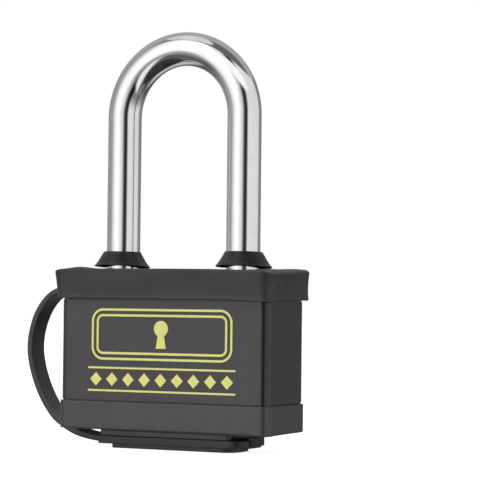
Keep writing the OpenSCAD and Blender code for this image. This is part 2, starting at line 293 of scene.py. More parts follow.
class Surface(Tree):
    """A material's node tree, read in the object's own coordinates."""

    def __init__(self, name):
        self.material = bpy.data.materials.new(name)
        self.material.use_nodes = True
        super().__init__(self.material.node_tree)
        self.shader = self.tree.nodes["Principled BSDF"]
        self.place = self.new("TexCoord").outputs["Object"]

    def noise(self, scale, detail=3.0, rough=0.55, stretch=None):
        node = self.new("TexNoise")
        node.inputs["Scale"].default_value = scale
        node.inputs["Detail"].default_value = detail
        node.inputs["Roughness"].default_value = rough
        where = self.place
        if stretch:
            mapping = self.new("Mapping")
            mapping.inputs["Scale"].default_value = stretch
            self.link(where, mapping.inputs["Vector"])
            where = mapping.outputs["Vector"]
        self.link(where, node.inputs["Vector"])
        return node.outputs["Fac"]

    def looks_up(self):
        """How far a face looks up, from -1 to 1."""
        return self.split(self.new("NewGeometry").outputs["Normal"])["Z"]

    def front_panel_and_light_mask(self, half_w, border):
        """1 on the middle of the front face, 0 round its upright edges and on the other sides; the sleeve paints
        it lighter as painted light and raises it a little.
        """
        place = self.split(self.place)
        inside = self.spread(self.math("ABSOLUTE", place["X"]), 1, 0, half_w, half_w + border)
        in_front = self.spread(place["Y"], 1, 0, shell_lo.y + 0.5 * MM, shell_lo.y + 1.0 * MM)
        return self.math("MULTIPLY", inside, in_front)

    def mix(self, fac, a, b):
        """Mixes two colours, each a socket or a tuple."""
        node = self.new("Mix")
        node.data_type = "RGBA"
        for slot, value in ((6, a), (7, b)):
            if isinstance(value, tuple):
                node.inputs[slot].default_value = (*value, 1)
            else:
                self.link(value, node.inputs[slot])
        self.link(fac, node.inputs[0])
        return node.outputs[2]

    def clouds(self, scale, detail, dark, light):
        """Patches of two colours."""
        return self.mix(self.spread(self.noise(scale, detail), 0, 1), dark, light)

    def bump(self, layers):
        """layers is a list of (height socket, strength, distance in metres), laid one over another."""
        normal = None
        for height, strength, distance in layers:
            node = self.new("Bump")
            node.inputs["Strength"].default_value = strength
            node.inputs["Distance"].default_value = distance
            self.link(height, node.inputs["Height"])
            if normal is not None:
                self.link(normal, node.inputs["Normal"])
            normal = node.outputs["Normal"]
        self.link(normal, self.shader.inputs["Normal"])

    def colour(self, socket):
        self.link(socket, self.shader.inputs["Base Color"])

    def roughness(self, socket):
        self.link(socket, self.shader.inputs["Roughness"])

    def set(self, **values):
        for key, value in values.items():
            self.shader.inputs[key.replace("_", " ")].default_value = value


# ---------------------------------------------------------------- materials
def grey(level):
    """A neutral colour."""
    return (level, level, level)


def soft_plastic(name, dark, light, rough, grain, gloss=0.5, dust=0.0, dust_and_top_light=None):
    """Black moulded rubber or plastic: fine grain, faint mottling, uneven sheen and a few pale specks.

    The colour given for faces that look up is laid on them: partly a dust film, partly painted light from above.
    """
    m = Surface(name)
    base = m.clouds(160, 4, dark, light)
    if dust:
        specks = m.spread(m.noise(700, 2), 0, dust, 0.68, 0.78)
        base = m.mix(specks, base, grey(0.30))
    # Faces that look up are made lighter: partly dust, partly painted light from above
    if dust_and_top_light:
        base = m.mix(m.spread(m.looks_up(), 0, 1, 0.15, 0.75), base, dust_and_top_light)
    m.colour(base)
    m.roughness(m.spread(m.noise(420, 3), rough - 0.05, rough + 0.06))
    m.bump([(m.noise(90, 2), 0.12, 0.1 * MM), (m.noise(grain, 3, 0.65), 0.20, 0.02 * MM)])
    m.set(Specular_IOR_Level=gloss)
    return m.material


def chrome():
    """Bright plate with a faint draw grain along the rod."""
    m = Surface("chrome_plate")
    m.set(Metallic=1.0)
    m.colour(m.clouds(240, 2, (0.80, 0.81, 0.83), (0.87, 0.875, 0.885)))
    m.roughness(m.spread(m.noise(900, 3), 0.035, 0.075))
    draw_grain = m.noise(4200, 2, 0.6, (1, 1, 0.12))
    m.bump([(m.noise(260, 2), 0.03, 0.05 * MM), (draw_grain, 0.035, 0.004 * MM)])
    return m.material


def lacquer():
    """The sleeve: dark plastic with a faint orange peel; its front face is painted paler as painted light and
    raised a little.
    """
    m = Surface("sleeve_lacquer")
    # Marks the front face, which is painted lighter than the sides as painted light, and raised a little
    panel_and_front_light = m.front_panel_and_light_mask(29.2 * MM, 0.4 * MM)
    cloud = m.spread(m.noise(70, 3), 0, 1)
    dark = m.mix(cloud, (0.016, 0.015, 0.016), (0.022, 0.020, 0.022))
    # The front face's paler colour is painted light from the front
    pale = m.mix(cloud, (0.030, 0.026, 0.030), (0.039, 0.034, 0.039))
    m.colour(m.mix(panel_and_front_light, dark, pale))
    m.roughness(m.spread(m.noise(350, 3), 0.17, 0.24))
    orange_peel = m.noise(1500, 2)
    # The same mask also raises the front face a little
    m.bump([(m.noise(110, 2), 0.06, 0.06 * MM), (orange_peel, 0.06, 0.010 * MM), (panel_and_front_light, 0.5, 0.1 * MM)])
    m.set(Specular_IOR_Level=0.50, Coat_Weight=0.2, Coat_Roughness=0.18)
    return m.material


def gold_ink():
    """Pale gold print, a little grainy."""
    m = Surface("gold_ink")
    m.colour(m.clouds(900, 3, (0.98, 0.90, 0.24), (1.0, 0.96, 0.32)))
    m.roughness(m.spread(m.noise(2200, 2), 0.38, 0.52))
    m.bump([(m.noise(3500, 2), 0.15, 0.01 * MM)])
    return m.material


def metal(name, dark, light, rough, grain, stretch=None):
    """Plain metal with a machining grain, finest along the axis where stretch is large."""
    m = Surface(name)
    m.set(Metallic=1.0)
    m.colour(m.clouds(300, 4, dark, light))
    m.roughness(m.spread(m.noise(700, 3), rough - 0.07, rough + 0.08))
    m.bump([(m.noise(grain, 3, 0.6, stretch), 0.1, 0.02 * MM)])
    return m.material


def casting():
    """Rough grey casting."""
    m = Surface("cast_block")
    m.set(Metallic=0.75)
    m.colour(m.clouds(260, 5, (0.10, 0.10, 0.105), (0.22, 0.22, 0.225)))
    m.roughness(m.spread(m.noise(500, 3), 0.5, 0.72))
    m.bump([(m.noise(1400, 5, 0.7), 0.5, 0.06 * MM)])
    return m.material


MATERIALS = {
    "chrome": chrome(),
    "seal_rubber": soft_plastic("seal_rubber", grey(0.012), grey(0.019), rough=0.30, grain=3200,
                                gloss=0.46, dust=0.6),
    "cap_rubber": soft_plastic("cap_rubber", (0.029, 0.029, 0.0292), (0.037, 0.037, 0.0372), rough=0.38,
                               grain=2600, gloss=0.44, dust=0.35),
    # Its faces that look up are lighter: partly dust, partly painted light from above
    "strap_rubber": soft_plastic("strap_rubber", grey(0.038), grey(0.048), rough=0.42, grain=2600,
                                 dust_and_top_light=grey(0.16)),
    "sleeve": lacquer(),
    "gold_ink": gold_ink(),
    "cast_block": casting(),
    "base_plastic": soft_plastic("base_plastic", (0.052, 0.049, 0.052), (0.065, 0.062, 0.065), rough=0.22,
                                 grain=2200),
    "cover_rubber": soft_plastic("cover_rubber", grey(0.028), grey(0.037), rough=0.34, grain=2600,
                                 gloss=0.42),
    "steel": metal("zinc_steel", (0.50, 0.51, 0.53), (0.66, 0.66, 0.67), 0.32, 1800),
    "brass": metal("turned_brass", (0.60, 0.43, 0.16), (0.76, 0.58, 0.26), 0.26, 2600, (1, 1, 9)),
    "hardened_steel": metal("hardened_steel", (0.30, 0.30, 0.32), (0.46, 0.46, 0.48), 0.28, 2400, (1, 9, 1)),
}


def dress(obj, slot, body=None, replaces=(), material=None):
    """Gives a piece its material and its body, and hides the CAD nodes that it stands for."""
    obj.data.materials.clear()
    obj.data.materials.append(MATERIALS[material or slot])
    if body:
        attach(obj, body)
    if replaces:
        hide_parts(*replaces)
    return obj


# ---------------------------------------------------------------- the shackle
def build_shackle():
    """The bent rod, with the heel leg's flat and neck and the toe leg's notch where the CAD has them."""
    around = 96
    heel_z, toe_z = shackle_lo.z, shackle_toe_z()
    heel_cut = PIN_X - PIN_R - FREE_GAP
    neck_lo = PIN_Z - LIFT - PIN_R - 0.1 * MM
    neck_hi = neck_lo + 2 * PIN_R + 0.5 * MM
    flat_hi = PIN_Z + PIN_R + FREE_GAP
    notch_floor = LEG_X - ROD_R + LATCH_THROW
    notch_lo, notch_hi = LATCH_Z - LATCH_R - FREE_GAP, LATCH_Z + LATCH_R + FREE_GAP
    neck_r = heel_cut + LEG_X
    heel_chamfer, toe_chamfer = 0.6 * MM, 1.0 * MM
    leg_steps, bow_steps = 24, 96

    def leg_ring(cx, z, r=ROD_R, low_x=-math.inf, high_x=math.inf):
        """A ring round a leg, cut off flat at low_x and high_x."""
        ring = circle(cx, 0, z, r, around)
        for point in ring:
            point.x = min(max(point.x, low_x), high_x)
        return ring

    def plain(z0, z1):
        """Full round stations from z0 to z1."""
        return [(z0 + (z1 - z0) * k / leg_steps,) for k in range(leg_steps + 1)]

    heel = [(heel_z, ROD_R - heel_chamfer), (heel_z + heel_chamfer,), (neck_lo,), (neck_lo, neck_r),
            (neck_hi, neck_r), (neck_hi, ROD_R, -math.inf, heel_cut), (flat_hi, ROD_R, -math.inf, heel_cut)]
    rings = [leg_ring(-LEG_X, *station) for station in heel + plain(flat_hi, BOW_Z)]
    for k in range(1, bow_steps):
        a = math.pi - math.pi * k / bow_steps
        ring = []
        for j in range(around):
            b = 2 * math.pi * j / around
            # At the heel leg the ring's local +x points into the bow, at the toe leg away from it
            rho = LEG_X - ROD_R * math.cos(b)
            ring.append(Vector((rho * math.cos(a), ROD_R * math.sin(b), BOW_Z + rho * math.sin(a))))
        rings.append(ring)
    toe = plain(BOW_Z, notch_hi)
    toe += [(notch_hi, ROD_R, notch_floor), (notch_lo, ROD_R, notch_floor), (notch_lo,),
            (toe_z + toe_chamfer,), (toe_z, ROD_R - toe_chamfer)]
    for station in toe:
        ring = leg_ring(LEG_X, *station)
        # Same winding as the bow's last ring, whose local +x points outwards
        rings.append([ring[(around // 2 - k) % around] for k in range(around)])
    return make_object("shackle_rod", *stack(rings), crease_deg=30)


def shackle_toe_z():
    """Height of the toe leg's end: the CAD mesh's lowest point on the right of the middle."""
    return min(v.co.z for v in NODES["shackle"].data.vertices if v.co.x > 0)


# ---------------------------------------------------------------- the seals
def build_seal(name, cx, phase, shift, tilt):
    """A bell-shaped rubber ring: flat crown, straight flank, thin flared lip and a hollow underside.

    Its outside sits off the leg's centre by shift, at right angles to LIP_ARCH_SIDE, and tips down by tilt
    on that side.
    """
    z0, z1 = seal_lo.z, seal_hi.z
    foot_r = (seal_hi.x - seal_lo.x) / 2
    crown_r = ROD_R + 0.55 * MM
    crown_edge = 0.35 * MM
    lip = 0.36 * MM
    lip_arch, lip_droop = 0.38 * MM, 0.22 * MM
    ripple = 0.04 * MM
    profile = [(ROD_R, z1 - 0.12 * MM), (ROD_R + 0.1 * MM, z1)]
    profile += arc(crown_r - crown_edge, z1 - crown_edge, crown_edge, 90, 30, 5)
    profile += [(crown_r + 0.78 * MM, z1 - 1.55 * MM), (crown_r + 1.45 * MM, z1 - 2.7 * MM)]
    profile += [(foot_r - 0.36 * MM, z0 + lip + 0.28 * MM), (foot_r - 0.08 * MM, z0 + lip)]
    profile += arc(foot_r - lip / 2, z0 + lip / 2, lip / 2, 60, -90, 6)
    profile += [(foot_r - 1.0 * MM, z0 + 0.05 * MM), (ROD_R + 1.5 * MM, z0 + 1.0 * MM),
                (ROD_R + 0.5 * MM, z0 + 1.35 * MM), (ROD_R, z0 + 1.3 * MM)]

    def wobble(r, z, a):
        # The bore keeps its fit on the leg
        share = min(1.0, max(0.0, (r - ROD_R - 0.05 * MM) / (0.5 * MM)))
        low = max(0.0, 1 - (z - z0) / (z1 - z0)) ** 1.5
        n = noise.noise(Vector((math.cos(a) * 1.3 + phase, math.sin(a) * 1.3, z * 300)))
        sideways = math.cos(a - AZIMUTH)
        facing = math.cos(a - LIP_ARCH_SIDE)
        arch = lip_arch * max(0.0, facing) ** 1.5 - lip_droop * max(0.0, -facing)
        r += share * (shift * sideways + n * ripple)
        z += share * (arch * (0.25 + 0.75 * low) - tilt * sideways + n * ripple)
        return r, z

    return lathe(name, profile, (cx, 0), wobble=wobble)


# ---------------------------------------------------------------- the top cap
def build_top_cap():
    """The soft cap: a skirt that leans out to the roof, a rolled hem, a soft top edge and a crowned roof."""
    roof_z, hem_z = cap_hi.z, cap_lo.z
    under_z = shell_hi.z
    top_w, top_d = cap_hi.x - cap_lo.x, cap_hi.y - cap_lo.y
    inner_w, inner_d = BODY_W + 0.04 * MM, BODY_D + 0.04 * MM
    lean, flick = 0.62 * MM, 0.22 * MM
    corner, edge = 3.4 * MM, 0.62 * MM
    roll_h = 0.45 * MM
    skirt_steps, edge_steps = 14, 7

    def outer(inset, z, r):
        return round_rect(top_w - 2 * inset, top_d - 2 * inset, r - inset * 0.6, z)

    def lean_at(z):
        """How far in the skirt has leant at a height."""
        t = (z - hem_z) / (roof_z - hem_z)
        return lean * (1 - t) ** 1.15

    inside = [round_rect(inner_w - 3 * MM, inner_d - 3 * MM, 1.0 * MM, under_z),
              round_rect(inner_w - 0.4 * MM, inner_d - 0.4 * MM, BODY_EDGE, under_z),
              round_rect(inner_w, inner_d, BODY_EDGE, under_z - 0.2 * MM),
              round_rect(inner_w, inner_d, BODY_EDGE, hem_z + 0.25 * MM),
              round_rect(inner_w + 0.3 * MM, inner_d + 0.3 * MM, BODY_EDGE, hem_z)]
    # The rolled hem, the leaning skirt, the soft top edge and the roof
    rings = [outer(lean + 0.12 * MM, hem_z, corner), outer(lean - flick, hem_z + 0.14 * MM, corner),
             outer(lean - flick * 0.9, hem_z + roll_h, corner)]
    for k in range(1, skirt_steps + 1):
        z = hem_z + roll_h + (roof_z - edge - 0.05 * MM - hem_z - roll_h) * k / skirt_steps
        ease = math.exp(-(z - hem_z) / (0.7 * MM))
        rings.append(outer(lean_at(z) - flick * ease, z, corner))
    for k in range(1, edge_steps + 1):
        a = math.radians(90 * k / edge_steps)
        rings.append(outer(edge * (1 - math.cos(a)), roof_z - edge + edge * math.sin(a), corner))
    for inset in (1.1, 1.7, 2.4, 3.2, 4.2, 5.4, 6.8, 8.2, 9.6, 11.0, 12.4):
        rings.append(outer(inset * MM, roof_z, corner + inset * 0.2 * MM))
    for ring in rings:
        for point in ring:
            soften_cap(point, roof_z, hem_z, top_d)
    cap = make_object("top_cap_soft", *stack(inside + rings), crease_deg=50)
    for x in (-LEG_X, LEG_X):
        boolean(cap, cylinder("hole", x, 0, under_z - 1 * MM, roof_z + 2 * MM, ROD_R + FREE_GAP))
    shade(cap, 45)
    return cap


# Place, height and spread of each swelling, in millimetres
ROOF_SWELLINGS = [(-26.4, -8.8, 0.62, 3.4), (28.0, -6.0, 0.45, 3.5), (29.0, 7.0, 0.15, 4.0)]


def soften_cap(p, roof_z, hem_z, depth):
    """Moves a point of the cap as soft moulded plastic sits: waves, sagging corners, a leaning skirt."""
    wave = noise.noise(Vector((p.x * 55, p.y * 55, p.z * 90)))
    fine = noise.noise(Vector((p.x * 160 + 7, p.y * 160, p.z * 200)))
    side = Vector((p.x / (BODY_W / 2), p.y / (BODY_D / 2), 0))
    out = Vector((math.copysign(abs(side.x) ** 6, side.x), math.copysign(abs(side.y) ** 6, side.y), 0))
    out = out.normalized() if out.length > 1e-6 else Vector((0, 0, 0))
    high = min(1.0, max(0.0, (p.z - hem_z) / (roof_z - hem_z)))
    skirt = min(1.0, max(0.0, (roof_z + 0.2 * MM - p.z) / (2 * MM)))
    p += out * (wave * 0.14 + fine * 0.05) * MM * skirt
    # The skirt leans to the left, and its right side is drawn in at mid height
    p.x -= 0.24 * MM * high
    if p.x > 0:
        p.x -= 0.20 * MM * math.sin(math.pi * high) * max(0.0, side.x) ** 8
    top = max(0.0, high - 0.6) / 0.4
    left, right = (math.hypot(p.x - sx * BODY_W / 2, p.y + BODY_D / 2) for sx in (-1, 1))
    front = min(1.0, max(0.0, 0.5 - 2 * p.y / depth))
    sag = 0.22 * front + 0.30 * math.exp(-left / (4 * MM)) + 0.70 * math.exp(-right / (8 * MM))
    p.z -= sag * MM * top
    # Low swellings of the roof behind its front edge
    if high > 0.98:
        for x, y, height, spread in ROOF_SWELLINGS:
            r2 = ((p.x - x * MM) ** 2 + (p.y - y * MM) ** 2) / (spread * MM) ** 2
            p.z += height * MM * math.exp(-r2)
    # The top edge is rounder at the ends, more so at the right
    end = max(0.0, (abs(p.x) - 30.0 * MM) / (2.6 * MM))
    p.z -= (0.8 if p.x > 0 else 0.3) * MM * end ** 2 * top
    # The hem hangs lower towards the near right corner
    p.z -= 0.65 * MM * math.exp(-right / (7 * MM)) * (1 - high) ** 2


# ---------------------------------------------------------------- the sleeve
def fade_in(distance, length):
    """0 at no distance, 1 from length onwards."""
    return min(1.0, max(0.0, distance / length))


def build_sleeve():
    """The sleeve: a tube with round upright edges, a parting line down each side and softly sunk faces."""
    lo, hi = shell_lo.z, shell_hi.z
    wall = (BODY_W - (BOX["lock_block"][1].x - BOX["lock_block"][0].x)) / 2
    half_w, half_d = BODY_W / 2, BODY_D / 2
    cuts = {"corner": 12, "long_cuts": 60, "short_cuts": 40}
    chamfer = 0.15 * MM
    groove_h, groove_in, groove_sunk, groove_slope = 0.48 * MM, 0.2 * MM, 0.7 * MM, 0.02 * MM
    groove_fade = 1.2 * MM
    face_sink, seam_sink, seam_half = 0.10 * MM, 0.07 * MM, 0.36 * MM
    levels = 14

    def outer(z, inset=0.0, sunk=0.0):
        ring = round_rect(BODY_W - 2 * inset, BODY_D - 2 * inset, BODY_EDGE - inset, z, **cuts)
        for p in ring:
            # A groove fades out towards the upright edges
            if abs(p.y) > half_d - inset - 0.01 * MM:
                p.y -= math.copysign(sunk * fade_in(half_w - BODY_EDGE - abs(p.x), groove_fade), p.y)
            elif abs(p.x) > half_w - inset - 0.01 * MM:
                p.x -= math.copysign(sunk * fade_in(half_d - BODY_EDGE - abs(p.y), groove_fade), p.x)
        t = (z - lo) / (hi - lo)
        for p in ring:
            middle = max(0.0, 1 - (p.x / (half_w - BODY_EDGE)) ** 4) * math.sin(math.pi * t)
            if abs(p.y) > half_d - 0.3 * MM:
                p.y -= math.copysign(face_sink * middle, p.y)
            if abs(p.x) > half_w - 0.05 * MM and abs(p.y) < seam_half:
                p.x -= math.copysign(seam_sink * (1 - abs(p.y) / seam_half), p.x)
        return ring

    start = lo + chamfer
    rings = [outer(lo, chamfer), outer(start)]
    # Narrow grooves around the sleeve, just above the bottom cap's rim and just under the top cap's hem
    for foot in (base_hi.z - 0.06 * MM, cap_lo.z - groove_h + 0.1 * MM):
        rings += [outer(start + (foot - 0.3 * MM - start) * k / levels) for k in range(1, levels + 1)]
        rings += [outer(foot), outer(foot + groove_slope, groove_in, groove_sunk)]
        start = foot + groove_h
        rings += [outer(start - groove_slope, groove_in, groove_sunk), outer(start)]
    rings += [outer(start + (hi - chamfer - start) * k / 4) for k in range(1, 5)]
    rings.append(outer(hi, chamfer))
    inner = [round_rect(BODY_W - 2 * wall, BODY_D - 2 * wall, BODY_EDGE - wall, z, **cuts) for z in (hi, lo)]
    verts, faces = stack(rings + inner, close_ends=False, loop=True)
    return make_object("body_sleeve", verts, faces, 40)


# ---------------------------------------------------------------- the bottom cap
def build_bottom_cap():
    """The snug bottom cap: a thin skirt with a fine rim, a soft lower edge and the boss around the keyway."""
    floor_thickness = 1.25 * MM
    floor_z, rim_z, boss_z = shell_lo.z - floor_thickness, base_hi.z, base_lo.z
    w, d = base_hi.x - base_lo.x, base_hi.y - base_lo.y
    corner = BODY_EDGE + (w - BODY_W) / 2
    edge, rim_edge = 0.45 * MM, 0.18 * MM
    levels, edge_steps = 10, 5

    def outer(inset, z):
        ring = round_rect(w - 2 * inset, d - 2 * inset, corner - inset, z)
        for p in ring:
            wave = noise.noise(Vector((p.x * 60 + 3, p.y * 60, p.z * 60)))
            p.y += math.copysign(0.04 * MM * wave, p.y)
            # Its lower edge hangs a little at the near right corner
            low = max(0.0, (floor_z + 2 * MM - z) / (2 * MM))
            corner_gap = math.hypot(p.x - w / 2, p.y + d / 2)
            p.z -= 0.3 * MM * low * math.exp(-corner_gap / (6 * MM))
        return ring

    rings = [round_rect(BODY_W - 4 * MM, BODY_D - 4 * MM, 1 * MM, shell_lo.z),
             round_rect(BODY_W, BODY_D, BODY_EDGE, shell_lo.z),
             round_rect(BODY_W, BODY_D, BODY_EDGE, rim_z - 0.1 * MM),
             round_rect(BODY_W + 0.2 * MM, BODY_D + 0.2 * MM, BODY_EDGE, rim_z)]
    rings += [outer(0.16 * MM, rim_z), outer(0.03 * MM, rim_z - 0.06 * MM), outer(0, rim_z - rim_edge)]
    rings += [outer(0, rim_z - rim_edge - (rim_z - rim_edge - floor_z - edge) * k / levels)
              for k in range(1, levels + 1)]
    for k in range(1, edge_steps + 1):
        a = math.radians(90 * k / edge_steps)
        rings.append(outer(edge * (1 - math.cos(a)), floor_z + edge - edge * math.sin(a)))
    rings.append(outer(3 * MM, floor_z))
    cap = make_object("bottom_cap_snug", *stack(rings), crease_deg=45)

    x0, x1, half_d = boss_extent()
    # The boss stands off the floor by a narrow shadow gap
    gap, gap_in = 0.35 * MM, 0.9 * MM
    outline = plate_outline(x0, x1, half_d, 0.5 * MM, 1.4 * MM)
    boss = slab("boss", outline, boss_z, floor_z - gap, 0.15 * MM)
    outline = plate_outline(x0 + gap_in, x1 - gap_in, half_d - gap_in, 0.3 * MM, 1.0 * MM)
    boolean(boss, slab("boss_core", outline, boss_z + 0.5 * MM, floor_z + 0.2 * MM, 0.05 * MM), "UNION")
    boolean(cap, boss, "UNION")
    opening_r = 5.5 * MM
    boolean(cap, cylinder("opening", 0, 0, boss_z - 1 * MM, shell_lo.z + 1 * MM, opening_r))
    screws_lo, screws_hi = BOX["base_screws"]
    head_r = (screws_hi.y - screws_lo.y) / 2
    for x in (screws_lo.x + head_r, screws_hi.x - head_r):
        boolean(cap, cylinder("head_seat", x, 0, boss_z - 1 * MM, boss_z + 1.1 * MM, head_r))
    shade(cap, 40)
    return cap


def boss_extent():
    """The boss's ends and half depth, read from the lowest ring of the CAD's bottom cap."""
    low = [v.co for v in NODES["bottom_cap"].data.vertices if v.co.z < base_lo.z + 0.05 * MM]
    return min(p.x for p in low), max(p.x for p in low), max(p.y for p in low)


# ---------------------------------------------------------------- the keyway cover
def slab(name, outline, z0, z1, edge):
    """A plate from an outline of (x, y) points, with its upper and lower edges rounded."""
    centre = Vector((sum(p[0] for p in outline), sum(p[1] for p in outline))) / len(outline)

    def ring(inset, z):
        out = []
        for k, p in enumerate(outline):
            a, b = Vector(outline[k - 1]), Vector(outline[(k + 1) % len(outline)])
            t = (b - a).normalized()
            normal = Vector((t.y, -t.x))
            if normal.dot(Vector(p) - centre) < 0:
                normal = -normal
            q = Vector(p) - normal * inset
            out.append(Vector((q.x, q.y, z)))
        return out

    steps = 4
    turns = [math.radians(90 * k / steps) for k in range(steps + 1)]
    rings = [ring(edge * (1 - math.sin(a)), z0 + edge * (1 - math.cos(a))) for a in turns]
    rings += [ring(edge * (1 - math.cos(a)), z1 - edge + edge * math.sin(a)) for a in turns]
    return make_object(name, *stack(rings), crease_deg=35)


def plate_outline(x0, x1, half_d, left_r, right_r):
    """A plate with its own corner radius at each end, as (x, y) points."""
    corners = [(x1 - right_r, half_d - right_r, right_r), (x0 + left_r, half_d - left_r, left_r),
               (x0 + left_r, -half_d + left_r, left_r), (x1 - right_r, -half_d + right_r, right_r)]
    points = []
    for k, (cx, cy, r) in enumerate(corners):
        points += arc(cx, cy, r, 90 * k, 90 * k + 90, 12)
    return points


def build_cover():
    """The keyway cover: plate, stepped pad, thick pull tab and the hollow plug that fills the keyway."""
    plate_z, plate_top = pad_top(), base_lo.z
    half_d = cover_hi.y
    x0, x1 = plate_ends()
    outline = plate_outline(x0, x1, half_d, 0.3 * MM, 5 * MM)
    plate = slab("plate", outline, plate_z, plate_top - 0.02 * MM, 0.2 * MM)

    pad_x0, pad_x1 = pad_ends()
    outline = plate_outline(pad_x0, pad_x1, half_d - 1.2 * MM, 0.5 * MM, 4 * MM)
    pad = slab("pad", outline, cover_lo.z, plate_z + 0.3 * MM, 0.22 * MM)

    tab_half, tab_lo, tab_hi = 2.8 * MM, plate_z + 0.6 * MM, plate_z + 3.1 * MM
    outline = plate_outline(x1 - 0.9 * MM, cover_hi.x, tab_half, 0.2 * MM, 0.7 * MM)
    tab = slab("tab", outline, tab_lo, tab_hi, 0.3 * MM)

    plug_r, plug_foot, plug_top, wall = 5.0 * MM, plate_top - 0.3 * MM, cover_hi.z, 1.6 * MM
    profile = [(plug_r - wall, plug_foot), (plug_r, plug_foot), (plug_r, plug_top - 1.2 * MM),
               (plug_r - 0.42 * MM, plug_top - 0.2 * MM), (plug_r - 0.65 * MM, plug_top),
               (plug_r - wall + 0.15 * MM, plug_top), (plug_r - wall, plug_top - 0.15 * MM)]
    plug = lathe("plug", profile, (0, 0), 64)
    return joined("keyway_cover_soft", [plate, pad, tab, plug])


def plate_ends():
    """The ends of the plate's lower face, where the tab does not reach."""
    xs = [v.co.x for v in NODES["keyway_cover"].data.vertices if abs(v.co.z - pad_top()) < 0.05 * MM]
    return min(xs), max(xs)


def pad_top():
    """Height of the step between the pad and the plate."""
    zs = sorted({round(v.co.z / MM, 2) for v in NODES["keyway_cover"].data.vertices})
    return next(z for z in zs if z > cover_lo.z / MM + 0.5) * MM


def pad_ends():
    """The ends of the pad's lower face."""
    xs = [v.co.x for v in NODES["keyway_cover"].data.vertices if v.co.z < cover_lo.z + 0.05 * MM]
    return min(xs), max(xs)


# ---------------------------------------------------------------- the strap
def build_strap():
    """A moulded strap with rounded edges and a shallow channel, from the cap's side to the cover's end."""
    half_w = (strap_hi.y - strap_lo.y) / 2
    half_t = 0.95 * MM
    route = [Vector((x * MM, 0, z * MM)) for x, z in strap_route()]
    line = smooth_curve(route, 6)
    n = len(line)
    rings = []
    for i, p in enumerate(line):
        t = (line[min(i + 1, n - 1)] - line[max(i - 1, 0)]).normalized()
        normal = Vector((-t.z, 0, t.x))
        s = i / (n - 1)
        # It is a little wider at its root and thicker at both ends
        root = math.exp(-(s / 0.05) ** 2)
        tail = math.exp(-((1 - s) / 0.05) ** 2)
        w = half_w * (0.97 + 0.03 * root)
        h = half_t * (0.93 + 0.07 * max(root, tail))
        sway = 0.12 * MM * math.sin(5.1 * s + 0.4)
        rings.append([p + normal * v + Vector((0, u + sway, 0)) for u, v in strap_section(w, h)])
    return make_object("strap_soft", *stack(rings), crease_deg=40)


def strap_section(w, h):
    """A flat section with rounded edges and a shallow channel down its outer face."""
    r, dip = 0.45 * MM, 0.16 * MM
    points = arc(w - r, h - r, r, 0, 90, 5) + arc(-w + r, h - r, r, 90, 180, 5)
    points += arc(-w + r, -h + r, r, 180, 270, 5)
    points += [(-w * 0.62, -h), (-w * 0.52, -h + dip), (0, -h + dip), (w * 0.52, -h + dip), (w * 0.62, -h)]
    return points + arc(w - r, -h + r, r, 270, 360, 5)


def strap_route():
    """The strap's centre line in millimetres, as in the CAD.

    The loop's points are how far out from the body's side, and the share of the height from the cover's end
    to the cap. Those under the body are the share of the way in from its side, and the height.
    """
    side, end, hem = -BODY_W / 2 / MM, cover_lo.x / MM, cap_lo.z / MM
    top, foot = hem + 2.2, base_lo.z / MM - 1.1
    loop = [(0.6, 1), (3.9, 1), (7, 0.985), (9.8, 0.935), (12.2, 0.857), (13.8, 0.766), (14.7, 0.668),
            (14.8, 0.573), (14.1, 0.477), (12.8, 0.38), (11.1, 0.289), (9, 0.206), (6.5, 0.133)]
    under = [(-0.327, 3.1), (0.01, 1.5), (0.37, 0.6), (0.7, 0.12), (1, 0)]
    points = [(side - out, foot + share * (top - foot)) for out, share in loop]
    return points + [(side + run * (end - side), foot + rise) for run, rise in under]


# ---------------------------------------------------------------- springs
def coil_points(start, axis, length, radius, turns, per_turn=24):
    """Points of a helix from start along axis."""
    axis = Vector(axis)
    side = axis.orthogonal().normalized()
    other = axis.cross(side)
    total = turns * per_turn
    points = []
    for k in range(total + 1):
        a = 2 * math.pi * k / per_turn
        t = k / total
        outward = math.cos(a) * side + math.sin(a) * other
        points.append(Vector(start) + axis * (length * t) + radius * outward)
    return points


def build_spring(name, node, axis_index, turns, wire):
    """A coil that fills a CAD spring's box along one axis."""
    lo, hi = BOX[node]
    axis = Vector((0, 0, 0))
    axis[axis_index] = 1
    across = [i for i in range(3) if i != axis_index]
    radius = (hi[across[0]] - lo[across[0]]) / 2 - wire
    start = (lo + hi) / 2
    start[axis_index] = lo[axis_index] + wire
    length = hi[axis_index] - lo[axis_index] - 2 * wire
    return tube(name, coil_points(start, axis, length, radius, turns), wire, 10)


def build_vane_springs():
    """Six small coils behind the vanes, as one object."""
    lo, hi = BOX["vane_springs"]
    wire = 0.13 * MM
    springs = []
    for i in range(6):
        vane_lo, vane_hi = BOX[f"vane_{i + 1}"]
        z = (vane_lo.z + vane_hi.z) / 2
        start = Vector(((lo.x + hi.x) / 2, lo.y + wire, z))
        points = coil_points(start, (0, 1, 0), hi.y - lo.y - 2 * wire, (hi.x - lo.x) / 2 - wire, 5, 14)
        springs.append(tube(f"vane_coil_{i}", points, wire, 6))
    return joined("vane_spring_coils", springs)


